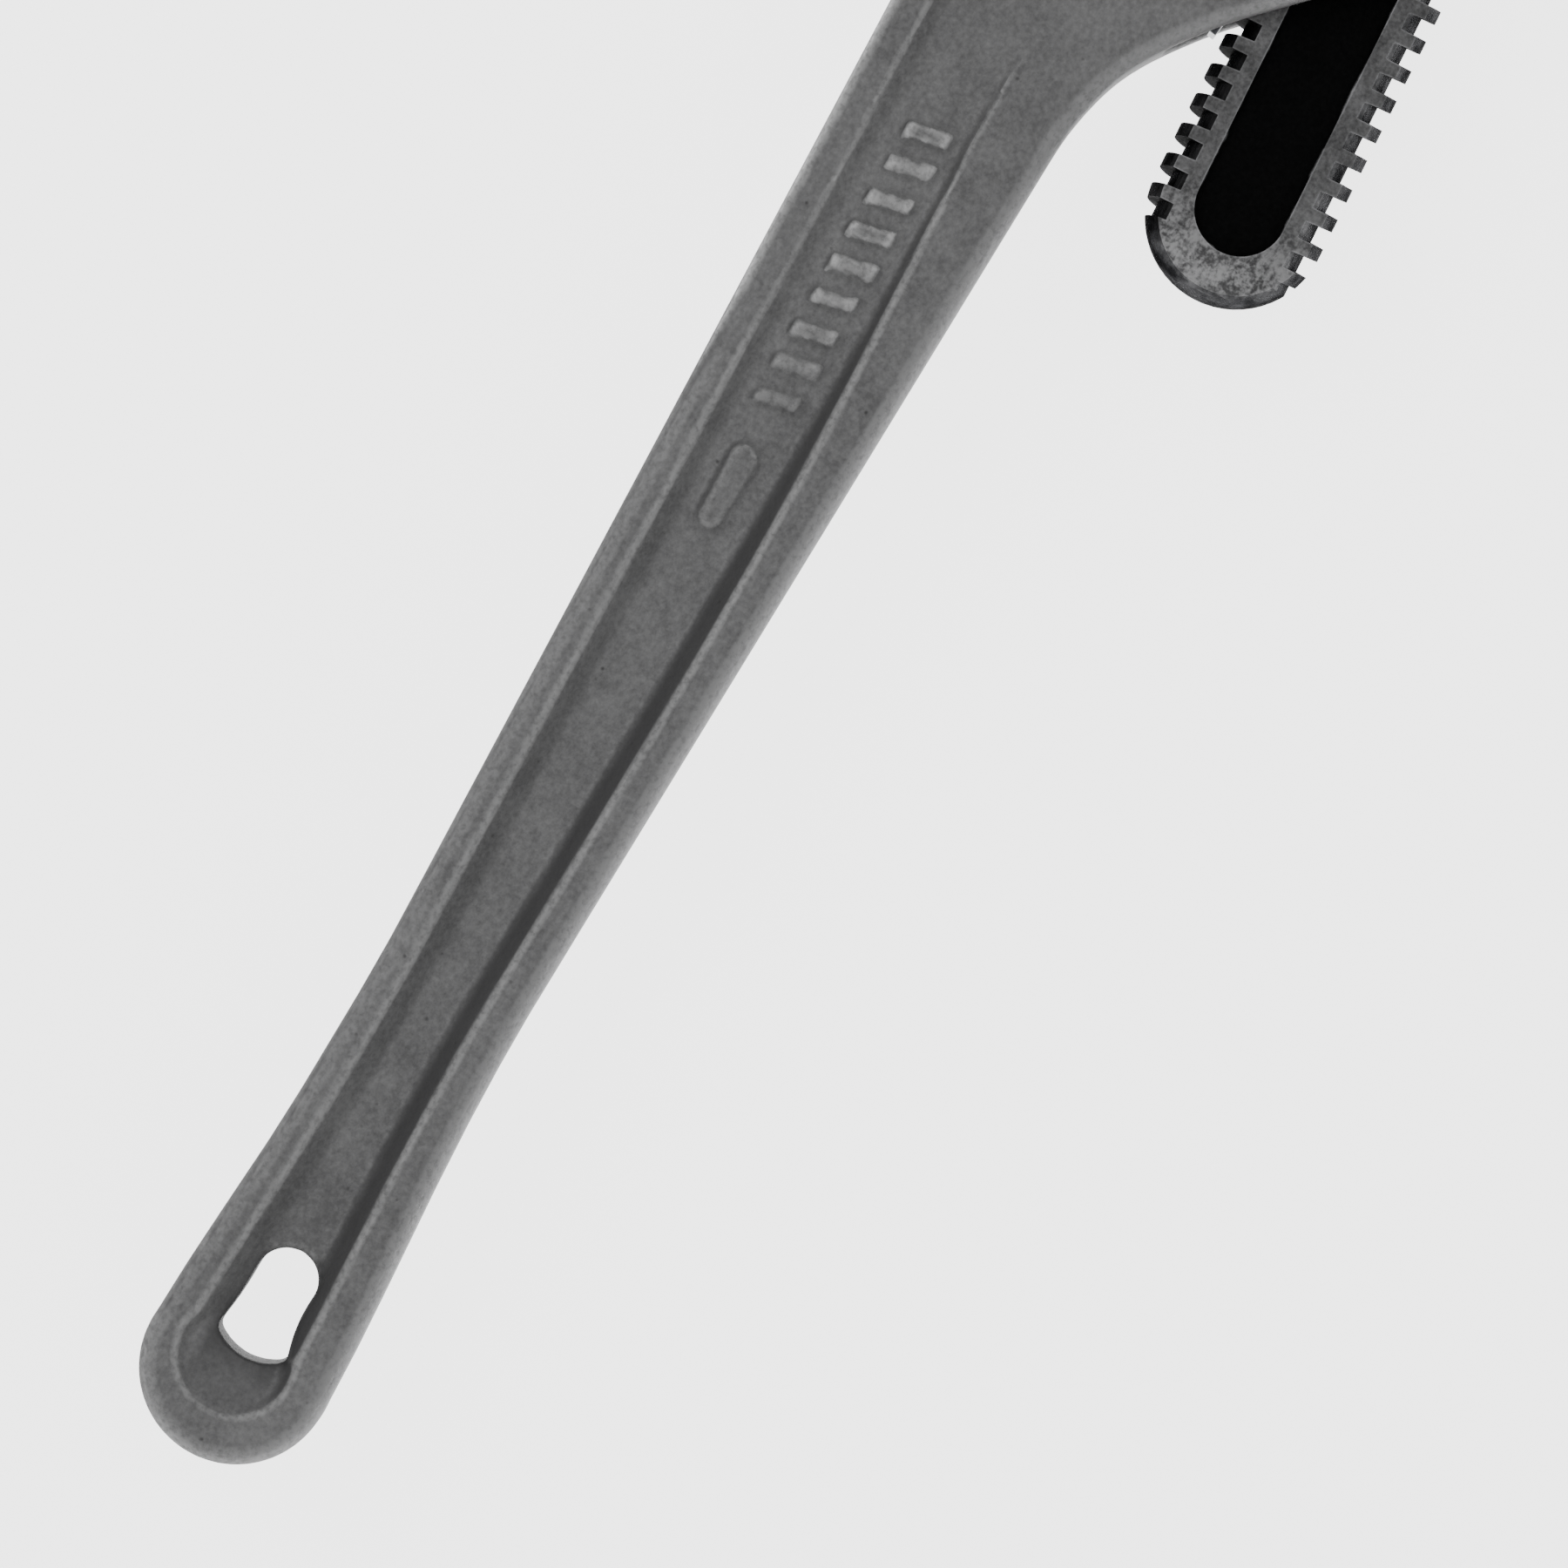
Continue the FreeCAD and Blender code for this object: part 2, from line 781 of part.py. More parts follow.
OVERCUT = 0.5
groove_slope = (GROOVE_TOP - GROOVE_ROOT) / (CREST - ROOT)
groove_profile = body_sketch(
    body,
    "groove_profile",
    "XZ_Plane",
    [
        ridge_profile(
            GROOVE_START,
            GROOVE_TOP + groove_slope * OVERCUT,
            GROOVE_ROOT,
            CREST + OVERCUT,
            ROOT,
        )
    ],
)
thread = body.newObject("PartDesign::SubtractiveHelix", "thread")
thread.Profile = groove_profile
thread.ReferenceAxis = (plane_of(body, "X_Axis"), [""])
thread.Mode = 0
bind(thread, "Pitch", cell("thread_pitch"))
thread.Height = THREAD_TOP + 4 - GROOVE_START
thread.LeftHanded = False

SHANK = dim("shank_thickness") / 2
flats = body_sketch(
    body,
    "flats",
    "XZ_Plane",
    [
        lines(
            Vector(-110, side * SHANK, 0),
            Vector(60, side * SHANK, 0),
            Vector(60, side * 30, 0),
            Vector(-110, side * 30, 0),
            Vector(-110, side * SHANK, 0),
        )
        for side in (1, -1)
    ],
)
pocket(body, "shank_flats", flats, 80)

neck_outline = body_sketch(
    body,
    "neck_outline",
    "XY_Plane",
    [
        lines(
            Vector(THREAD_TOP - 4, -CREST, 0),
            Vector(70, -CREST, 0),
            Vector(70, CREST, 0),
            Vector(THREAD_TOP - 4, CREST, 0),
            Vector(THREAD_TOP - 4, -CREST, 0),
        )
    ],
)
pad(body, "neck", neck_outline, cell("shank_thickness"))

TEETH_LEVEL = HEAD_TOP + dim("heel_height") + dim("jaw_gap")
DEPTH = dim("tooth_depth")
hook_teeth = teeth(-17.5, 12, TEETH_LEVEL, DEPTH)
throat_corner = from_shank(62.0, CREST)
neck_front = from_shank(50.0, CREST)
neck_back = from_shank(50.0, -CREST)
hook_points = [to_shank(*p) for p in hook_teeth]
hook_points[0] = to_shank(TEETH_LEVEL, -17.9)
throat_start = hook_points[-1]
throat_end = to_shank(*throat_corner)
throat_mid = to_shank(TEETH_LEVEL + 4.6, 18.6)
crown = [
    (402.4, 48.4),
    (410.2, 42.0),
    (414.3, 31.5),
    (413.9, 18.0),
    (409.0, 3.0),
    (402.5, -9.0),
    (397.2, -17.0),
]
crown_points = [to_shank(*p) for p in crown]
tip_back = to_shank(395.2, -20.2)
tip_front = to_shank(389.4, -20.6)
hook_outline = body_sketch(
    body,
    "hook_outline",
    "XY_Plane",
    [
        lines(*hook_points)
        + arc(throat_start, throat_mid, throat_end)
        + lines(throat_end, to_shank(*neck_front), to_shank(*neck_back), crown_points[0])
        + spline(crown_points)
        + arc(crown_points[-1], tip_back, tip_front)
        + lines(tip_front, hook_points[0])
    ],
)
pad(body, "hook", hook_outline, cell("hook_thickness"))

PANEL = dim("panel_width") / 2
PANEL_START = -BELOW + 8.0 + PANEL
PANEL_END = 40.0


def panel_edges():
    return (
        lines(Vector(PANEL_START, PANEL, 0), Vector(PANEL_END, PANEL, 0))
        + arc(Vector(PANEL_END, PANEL, 0), Vector(PANEL_END + PANEL, 0, 0), Vector(PANEL_END, -PANEL, 0))
        + lines(Vector(PANEL_END, -PANEL, 0), Vector(PANEL_START, -PANEL, 0))
        + arc(
            Vector(PANEL_START, -PANEL, 0),
            Vector(PANEL_START - PANEL, 0, 0),
            Vector(PANEL_START, PANEL, 0),
        )
    )


for word, side in (("front_panel", 1), ("back_panel", -1)):
    level = side * (SHANK - dim("panel_depth"))
    panel = body_sketch(body, f"{word}_outline", "XY_Plane", [panel_edges()], level=level)
    hollow = pocket(body, word, panel, dim("panel_depth") + 0.5, symmetric=False)
    hollow.Reversed = side > 0
doc.recompute()

# ---------------------------------------------------------------- adjusting nut

nut = doc.addObject("PartDesign::Body", "adjusting_nut")
nut.Label = "adjusting_nut"
NUT_HALF = dim("nut_height") / 2
NUT_RADIUS = dim("nut_diameter") / 2
GAP = dim("thread_gap")
BORE = ROOT + GAP
EDGE = 1.6
nut_profile = body_sketch(
    nut,
    "nut_profile",
    "XZ_Plane",
    [
        lines(
            Vector(-NUT_HALF, BORE + 1.2, 0),
            Vector(-NUT_HALF, NUT_RADIUS - EDGE, 0),
            Vector(-NUT_HALF + EDGE, NUT_RADIUS, 0),
            Vector(-1.0, NUT_RADIUS, 0),
            Vector(-0.6, NUT_RADIUS - 1.0, 0),
            Vector(0.6, NUT_RADIUS - 1.0, 0),
            Vector(1.0, NUT_RADIUS, 0),
            Vector(NUT_HALF - EDGE, NUT_RADIUS, 0),
            Vector(NUT_HALF, NUT_RADIUS - EDGE, 0),
            Vector(NUT_HALF, BORE + 1.2, 0),
            Vector(NUT_HALF - 1.2, BORE, 0),
            Vector(-NUT_HALF + 1.2, BORE, 0),
            Vector(-NUT_HALF, BORE + 1.2, 0),
        )
    ],
)
ring = nut.newObject("PartDesign::Revolution", "nut_blank")
ring.Profile = nut_profile
ring.ReferenceAxis = (plane_of(nut, "X_Axis"), [""])
ring.Angle = 360

turns_up = math.ceil((-NUT_HALF - PITCH - GROOVE_START) / PITCH) - 2
NUT_THREAD_START = GROOVE_START + PITCH / 2 + turns_up * PITCH
RIDGE_TIP = PITCH / 2 - GROOVE_TOP
RIDGE_FOOT = PITCH / 2 - GROOVE_ROOT
ridge_slope = (RIDGE_FOOT - RIDGE_TIP) / (CREST - ROOT)
nut_groove = body_sketch(
    nut,
    "nut_groove_profile",
    "XZ_Plane",
    [
        ridge_profile(
            NUT_THREAD_START,
            RIDGE_TIP + GAP - ridge_slope * GAP,
            RIDGE_FOOT + GAP + ridge_slope * OVERCUT,
            CREST + GAP,
            ROOT - OVERCUT,
        )
    ],
)
nut_thread = nut.newObject("PartDesign::SubtractiveHelix", "nut_thread")
nut_thread.Profile = nut_groove
nut_thread.ReferenceAxis = (plane_of(nut, "X_Axis"), [""])
nut_thread.Mode = 0
bind(nut_thread, "Pitch", cell("thread_pitch"))
nut_thread.Height = NUT_HALF + PITCH - NUT_THREAD_START
nut_thread.LeftHanded = False

flute_sketch = body_sketch(
    nut,
    "flute_outline",
    "YZ_Plane",
    [
        lines(
            Vector(NUT_RADIUS - 1.0, 0, 0),
            Vector(NUT_RADIUS + 1.0, 1.35, 0),
            Vector(NUT_RADIUS + 1.0, -1.35, 0),
            Vector(NUT_RADIUS - 1.0, 0, 0),
        )
    ],
)
flute = pocket(nut, "flute", flute_sketch, dim("nut_height") + 4)
knurl = nut.newObject("PartDesign::PolarPattern", "knurl")
knurl.Originals = [flute]
knurl.Axis = (plane_of(nut, "X_Axis"), [""])
knurl.Angle = 360
bind(knurl, "Occurrences", cell("knurl_count"))
nut.Tip = knurl
doc.recompute()

# ---------------------------------------------------------------- heel jaw

heel = doc.addObject("PartDesign::Body", "heel_jaw")
heel.Label = "heel_jaw"
HEEL_HALF = dim("heel_width") / 2
HEEL_HEIGHT = dim("heel_height")
TONGUE_DEPTH = dim("tongue_depth")


def heel_teeth():
    """The toothed face, from the mouth end to the shank end."""
    step = dim("tooth_pitch")
    count = 13
    first = HEEL_HALF - 2.2
    points = [Vector(HEEL_HEIGHT - DEPTH, first, 0)]
    for n in range(count):
        left = first - n * step
        points.append(Vector(HEEL_HEIGHT, left - step + 0.35, 0))
        points.append(Vector(HEEL_HEIGHT - DEPTH, left - step, 0))
    return points


heel_face = heel_teeth()
heel_outline = body_sketch(
    heel,
    "heel_outline",
    "XY_Plane",
    [
        lines(
            Vector(0, HEEL_HALF - 1.5, 0),
            Vector(2.5, HEEL_HALF, 0),
            Vector(HEEL_HEIGHT - 4.0, HEEL_HALF, 0),
            heel_face[0],
        )
        + lines(*heel_face)
        + lines(
            heel_face[-1],
            Vector(HEEL_HEIGHT - 4.0, -HEEL_HALF, 0),
            Vector(0, -HEEL_HALF, 0),
            Vector(0, HEEL_HALF - 1.5, 0),
        )
    ],
)
pad(heel, "heel_block", heel_outline, cell("heel_thickness"))
tongue_outline = body_sketch(
    heel,
    "tongue_outline",
    "XY_Plane",
    [
        lines(
            Vector(2, TONGUE_HALF, 0),
            Vector(-TONGUE_DEPTH, TONGUE_HALF, 0),
            Vector(-TONGUE_DEPTH, -TONGUE_HALF, 0),
            Vector(2, -TONGUE_HALF, 0),
            Vector(2, TONGUE_HALF, 0),
        )
    ],
)
pad(heel, "tongue", tongue_outline, cell("tongue_thickness"))
pin_circle = body_sketch(
    heel,
    "pin_circle",
    "XY_Plane",
    [[Part.Circle(Vector(-dim("pin_depth"), 0, 0), UP, dim("pin_radius"))]],
)
radius = pin_circle.addConstraint(Sketcher.Constraint("Radius", 0, dim("pin_radius")))
bind(pin_circle, f"Constraints[{radius}]", cell("pin_radius"))
pocket(heel, "pin_bore", pin_circle, 60)
doc.recompute()

# ---------------------------------------------------------------- heel jaw pin, a slotted spring pin

pin = doc.addObject("PartDesign::Body", "heel_jaw_pin")
pin.Label = "heel_jaw_pin"
PIN = dim("pin_radius") - 0.02
PIN_WALL = 1.1
SLIT = 0.5
slit_angle = math.asin(SLIT / PIN)
inner_slit = math.asin(SLIT / (PIN - PIN_WALL))


def around(radius_, angle):
    return Vector(radius_ * math.cos(angle), radius_ * math.sin(angle), 0)


pin_outline = body_sketch(
    pin,
    "pin_outline",
    "XY_Plane",
    [
        arc(around(PIN, slit_angle), around(PIN, math.pi), around(PIN, -slit_angle))
        + lines(around(PIN, -slit_angle), around(PIN - PIN_WALL, -inner_slit))
        + arc(
            around(PIN - PIN_WALL, -inner_slit),
            around(PIN - PIN_WALL, math.pi),
            around(PIN - PIN_WALL, inner_slit),
        )
        + lines(around(PIN - PIN_WALL, inner_slit), around(PIN, slit_angle))
    ],
)
pad(pin, "pin_tube", pin_outline, cell("pin_length"))
doc.recompute()

# ---------------------------------------------------------------- flat spring that follows the shank

leaf = doc.addObject("PartDesign::Body", "flat_spring")
leaf.Label = "flat_spring"
LEAF = dim("leaf_thickness")
LEAF_FACE = CREST + dim("leaf_gap")
LEAF_TOP = -16.5
LEAF_LOW = -50.0
BEND = 1.0
leaf_outline = body_sketch(
    leaf,
    "leaf_outline",
    "XY_Plane",
    [
        lines(
            Vector(LEAF_TOP, LEAF_FACE, 0),
            Vector(LEAF_LOW, LEAF_FACE, 0),
            Vector(LEAF_LOW - 6, LEAF_FACE + BEND, 0),
            Vector(LEAF_LOW - 5.8, LEAF_FACE + BEND + LEAF, 0),
            Vector(LEAF_LOW + 0.1, LEAF_FACE + LEAF, 0),
            Vector(LEAF_TOP - 2.0, LEAF_FACE + LEAF, 0),
            Vector(LEAF_TOP - 1.2, LEAF_FACE + LEAF + 1.6, 0),
            Vector(LEAF_TOP, LEAF_FACE + LEAF + 1.2, 0),
            Vector(LEAF_TOP, LEAF_FACE, 0),
        )
    ],
)
pad(leaf, "leaf_strip", leaf_outline, cell("leaf_width"))
RIVET = 1.4
rivet_circle = body_sketch(
    leaf,
    "rivet_circle",
    "XZ_Plane",
    [[Part.Circle(Vector(-SPRING_AT, 0, 0), UP, RIVET)]],
)
pocket(leaf, "rivet_bore", rivet_circle, 80)
doc.recompute()

# ---------------------------------------------------------------- rivet that centres the coil spring on it

rivet = doc.addObject("PartDesign::Body", "spring_rivet")
rivet.Label = "spring_rivet"
RIVET_SHAFT = RIVET - 0.02
HEAD_RADIUS = 1.8
rivet_profile = body_sketch(
    rivet,
    "rivet_profile",
    "XZ_Plane",
    [
        lines(
            Vector(0, 0.1, 0),
            Vector(RIVET_SHAFT, 0.1, 0),
            Vector(RIVET_SHAFT, LEAF, 0),
            Vector(HEAD_RADIUS, LEAF, 0),
            Vector(HEAD_RADIUS, LEAF + 0.7, 0),
            Vector(HEAD_RADIUS - 0.5, LEAF + 1.2, 0),
            Vector(0, LEAF + 1.2, 0),
            Vector(0, 0.1, 0),
        )
    ],
)
dome = rivet.newObject("PartDesign::Revolution", "rivet_shape")
dome.Profile = rivet_profile
dome.ReferenceAxis = (plane_of(rivet, "Z_Axis"), [""])
dome.Angle = 360
doc.recompute()

# ---------------------------------------------------------------- coil spring between the casting and the leaf

coil = doc.addObject("PartDesign::Body", "coil_spring")
coil.Label = "coil_spring"
WIRE = dim("coil_wire") / 2
COIL = dim("coil_radius")
COIL_LENGTH = dim("coil_length")
wire_circle = body_sketch(
    coil,
    "wire_circle",
    "XZ_Plane",
    [[Part.Circle(Vector(COIL, WIRE, 0), UP, WIRE)]],
)
winding = coil.newObject("PartDesign::AdditiveHelix", "winding")
winding.Profile = wire_circle
winding.ReferenceAxis = (plane_of(coil, "Z_Axis"), [""])
winding.Mode = 0
winding.Height = COIL_LENGTH - 2 * WIRE
winding.Pitch = (COIL_LENGTH - 2 * WIRE) / dim("coil_turns")
winding.LeftHanded = False
doc.recompute()

# ---------------------------------------------------------------- placements, with the origin under the middle

shank_place = Placement(at(NUT_ALONG, NUT_ACROSS), Rotation(UP, math.degrees(TILT)))
PLACES = {
    handle: Placement(),
    hook_jaw: shank_place,
    nut: shank_place,
    heel: Placement(at(HEAD_TOP, HEEL_ACROSS), Rotation()),
    pin: Placement(at(HEAD_TOP - dim("pin_depth"), HEEL_ACROSS), Rotation()),
    leaf: shank_place,
    rivet: across_shank(-SPRING_AT, LEAF_FACE),
    coil: across_shank(-SPRING_AT, LEAF_BACK + 0.02),
}
for thing, place in PLACES.items():
    thing.Placement = place
doc.recompute()

boxes = [thing.Shape.optimalBoundingBox(False) for thing in PLACES]
sheet.set("centre_along", str(round((min(b.XMin for b in boxes) + max(b.XMax for b in boxes)) / 2, 4)))
sheet.set("centre_across", str(round((min(b.YMin for b in boxes) + max(b.YMax for b in boxes)) / 2, 4)))
for thing, place in PLACES.items():
    bind(thing, "Placement.Base.x", f"{place.Base.x} - {cell('centre_along')}")
    bind(thing, "Placement.Base.y", f"{place.Base.y} - {cell('centre_across')}")
    bind(thing, "Placement.Base.z", cell("mid_height"))
doc.recompute()

# ---------------------------------------------------------------- checks and export

for thing in doc.Objects:
    if "Invalid" in thing.State or "Error" in thing.State:
        raise RuntimeError(f"{thing.Label} did not build")
os.makedirs("parts", exist_ok=True)
for thing in PLACES:
    shape = thing.Shape
    if shape.isNull() or not shape.isValid():
        raise RuntimeError(f"{thing.Label} has no valid shape")
    shape.exportStep(f"parts/{thing.Label}.step")
    box = shape.optimalBoundingBox(False)
    print(
        thing.Label,
        len(shape.Solids),
        round(shape.Volume, 1),
        [round(v, 2) for v in (box.XMin, box.YMin, box.ZMin, box.XMax, box.YMax, box.ZMax)],
    )
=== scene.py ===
"""Pipe wrench lying on a pale floor, framed from above on its handle and the end of its threaded shank."""

import json
import math

import bpy
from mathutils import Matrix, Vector


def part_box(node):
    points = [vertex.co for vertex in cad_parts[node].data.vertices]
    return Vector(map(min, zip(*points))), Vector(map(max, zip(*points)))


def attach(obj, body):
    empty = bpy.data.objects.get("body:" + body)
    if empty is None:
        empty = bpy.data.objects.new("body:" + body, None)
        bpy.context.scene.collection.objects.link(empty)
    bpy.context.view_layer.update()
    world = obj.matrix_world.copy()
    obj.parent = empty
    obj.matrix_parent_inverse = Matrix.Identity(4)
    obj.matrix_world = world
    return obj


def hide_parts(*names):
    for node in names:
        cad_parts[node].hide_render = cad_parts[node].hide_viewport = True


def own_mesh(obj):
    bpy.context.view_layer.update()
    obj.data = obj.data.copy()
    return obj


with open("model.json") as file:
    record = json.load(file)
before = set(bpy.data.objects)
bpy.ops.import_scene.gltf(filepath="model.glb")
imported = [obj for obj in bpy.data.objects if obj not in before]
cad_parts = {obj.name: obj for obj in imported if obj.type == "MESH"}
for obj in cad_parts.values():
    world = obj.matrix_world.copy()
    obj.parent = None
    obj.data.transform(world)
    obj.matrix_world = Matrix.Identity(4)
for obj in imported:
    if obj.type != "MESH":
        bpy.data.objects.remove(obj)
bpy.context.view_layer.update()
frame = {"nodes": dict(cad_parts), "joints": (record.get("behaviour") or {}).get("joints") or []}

MM = 0.001
nodes = frame["nodes"]
joints = {j["name"]: j for j in frame["joints"]}

# ---------------------------------------------------------------- where things are

HOUSING_SIDE_ACROSS = 66.0 * MM
handle_low, handle_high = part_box("handle")
handle_end = handle_low.x
centre_line = handle_low.y + HOUSING_SIDE_ACROSS
mid_height = (handle_low.z + handle_high.z) / 2
nut_centre = Vector(joints["jaw_rock"]["pos_m"])
shank_way = Vector(joints["jaw_slide"]["axis"])
shank_side = Vector((-shank_way.y, shank_way.x, 0))


def on_casting(along, across, height=0.0):
    """A point in millimetres along the handle from its end, across toward the shank, and above the middle."""
    return Vector((handle_end + along * MM, centre_line - across * MM, mid_height + height * MM))


# ---------------------------------------------------------------- material building blocks

# how alike the true and the rounded surface directions are at a corner that shows wear, and at a sharp one
CORNER_STARTS = 0.995
CORNER_SHARP = 0.86


class Recipe:
    """A node material under construction, with short ways to add the nodes it needs."""

    def __init__(self, name):
        self.material = bpy.data.materials.new(name)
        self.material.use_nodes = True
        self.tree = self.material.node_tree
        self.shader = self.tree.nodes["Principled BSDF"]
        self.place = self.add("ShaderNodeTexCoord").outputs["Object"]

    def add(self, kind, **values):
        node = self.tree.nodes.new(kind)
        for key, value in values.items():
            setattr(node, key, value)
        return node

    def link(self, source, target):
        self.tree.links.new(source, target)

    def feed(self, socket, value):
        """Gives an input another socket's output or a plain value."""
        if isinstance(value, bpy.types.NodeSocket):
            self.link(value, socket)
        else:
            socket.default_value = value

    def noise(self, size, detail=3.0, rough=0.5, place=None):
        """Noise whose lumps are about this many metres across."""
        node = self.add("ShaderNodeTexNoise")
        self.link(place or self.place, node.inputs["Vector"])
        node.inputs["Scale"].default_value = 1.0 / size
        node.inputs["Detail"].default_value = detail
        node.inputs["Roughness"].default_value = rough
        return node.outputs["Fac"]

    def cells(self, size):
        """Distance to the middle of the nearest of many cells about this many metres across."""
        node = self.add("ShaderNodeTexVoronoi")
        self.link(self.place, node.inputs["Vector"])
        node.inputs["Scale"].default_value = 1.0 / size
        return node.outputs["Distance"]

    def remap(self, value, low, high, out_low=0.0, out_high=1.0, smooth=False):
        node = self.add("ShaderNodeMapRange")
        node.interpolation_type = "SMOOTHSTEP" if smooth else "LINEAR"
        node.clamp = True
        self.feed(node.inputs["Value"], value)
        self.feed(node.inputs["From Min"], low)
        self.feed(node.inputs["From Max"], high)
        self.feed(node.inputs["To Min"], out_low)
        self.feed(node.inputs["To Max"], out_high)
        return node.outputs["Result"]

    def calculate(self, how, a, b=0.0):
        node = self.add("ShaderNodeMath", operation=how)
        for socket, value in zip(node.inputs, (a, b)):
            self.feed(socket, value)
        return node.outputs["Value"]

    def plus(self, a, b):
        return self.calculate("ADD", a, b)

    def minus(self, a, b):
        return self.calculate("SUBTRACT", a, b)

    def times(self, a, b):
        return self.calculate("MULTIPLY", a, b)

    def larger(self, a, b):
        return self.calculate("MAXIMUM", a, b)

    def distance(self, value):
        """How far a value is from zero."""
        return self.calculate("ABSOLUTE", value)

    def mix(self, factor, a, b):
        """One colour turning into another."""
        node = self.add("ShaderNodeMix", data_type="RGBA")
        colour_in = [s for s in node.inputs if s.type == "RGBA"]
        factor_in = [s for s in node.inputs if s.type == "VALUE"][0]
        self.link(factor, factor_in)
        for socket, value in zip(colour_in, (a, b)):
            self.feed(socket, (*value, 1.0) if isinstance(value, tuple) else value)
        return [s for s in node.outputs if s.type == "RGBA"][0]

    def stretched(self, along, length_share):
        """Coordinates squeezed along one direction, for grain that runs that way."""
        turn = self.add("ShaderNodeMapping")
        turn.vector_type = "TEXTURE"
        self.link(self.place, turn.inputs["Vector"])
        turn.inputs["Rotation"].default_value[2] = math.atan2(along.y, along.x)
        turn.inputs["Scale"].default_value = (length_share, 1.0, 1.0)
        return turn.outputs["Vector"]

    def worn_edges(self, radius):
        """High where the surface turns a corner within this radius."""
        bevel = self.add("ShaderNodeBevel", samples=6)
        bevel.inputs["Radius"].default_value = radius
        geometry = self.add("ShaderNodeNewGeometry")
        dot = self.add("ShaderNodeVectorMath", operation="DOT_PRODUCT")
        self.link(bevel.outputs["Normal"], dot.inputs[0])
        self.link(geometry.outputs["Normal"], dot.inputs[1])
        return self.remap(dot.outputs["Value"], CORNER_STARTS, CORNER_SHARP)

    def outer_corners(self, low, high):
        """High along outer corners of a fine mesh, rounded ones too."""
        geometry = self.add("ShaderNodeNewGeometry")
        return self.remap(geometry.outputs["Pointiness"], low, high)

    def facing(self, way, low, high):
        """High where the surface turns toward one direction."""
        geometry = self.add("ShaderNodeNewGeometry")
        dot = self.add("ShaderNodeVectorMath", operation="DOT_PRODUCT")
        self.link(geometry.outputs["Normal"], dot.inputs[0])
        dot.inputs[1].default_value = way
        return self.remap(dot.outputs["Value"], low, high)

    def bump(self, height, depth):
        """Sets the shader's normal from a height; depth is the height's range in metres."""
        node = self.add("ShaderNodeBump")
        node.inputs["Distance"].default_value = depth
        node.inputs["Strength"].default_value = 1.0
        self.link(height, node.inputs["Height"])
        self.link(node.outputs["Normal"], self.shader.inputs["Normal"])

    def soften_grazing(self, specular, edge_tint):
        """Less shine than a smooth surface has where it is seen along its face, as rough metal shows."""
        self.shader.inputs["Specular IOR Level"].default_value = specular
        self.shader.inputs["Specular Tint"].default_value = (edge_tint, edge_tint, edge_tint, 1.0)

    def finish(self, colour, roughness, metallic):
        self.feed(self.shader.inputs["Base Color"], colour)
        self.feed(self.shader.inputs["Roughness"], roughness)
        self.feed(self.shader.inputs["Metallic"], metallic)
        return self.material


def dress(node, material):
    """Puts one material all over a CAD node."""
    mesh = nodes[node].data
    mesh.materials.clear()
    mesh.materials.append(material)


# ---------------------------------------------------------------- cast handle

BESIDE_SHANK = Vector((0, -1, 0))
BESIDE_MOUTH = Vector((0, 1, 0))
CAST_DARK = (0.125, 0.125, 0.126)
CAST_LIGHT = (0.215, 0.215, 0.216)
CAST_PIT = (0.05, 0.05, 0.05)
# painted shade colour for the scoop at the handle's end
CAST_SCOOP_SHADE = (0.075, 0.075, 0.076)
FLANGE_LEVEL = 11.0 * MM
RELIEF_LEVEL = 8.9 * MM
# the painted side highlight starts this far across from the centre line
SIDE_HIGHLIGHT_STARTS_ACROSS = 8.0 * MM
SCOOP_REACH = 38.0 * MM
SCOOP_FULL = 16.0 * MM
SCOOP_HALF_WIDTH = 7.5 * MM
HANDLE_TIP = 5.0 * MM
CORNER_FAINT = 0.51
CORNER_BRIGHT = 0.536
# painted highlight colour for the outer side facing the shank
CAST_SIDE_HIGHLIGHT = (0.21, 0.21, 0.212)
# painted shade colour for the side facing the mouth
CAST_SHADED_SIDE = (0.07, 0.07, 0.071)
# edge wear and painted highlight colour for the outer corners
CAST_EDGE_WEAR_AND_HIGHLIGHT = (0.48, 0.48, 0.482)
CAST_METALLIC = 0.3
CAST_ROUGHEST = 0.66
CAST_SMOOTHEST = 0.5
CAST_GRAIN_DEPTH = 0.16 * MM
CAST_SKIN_GRAIN = 0.7 * MM


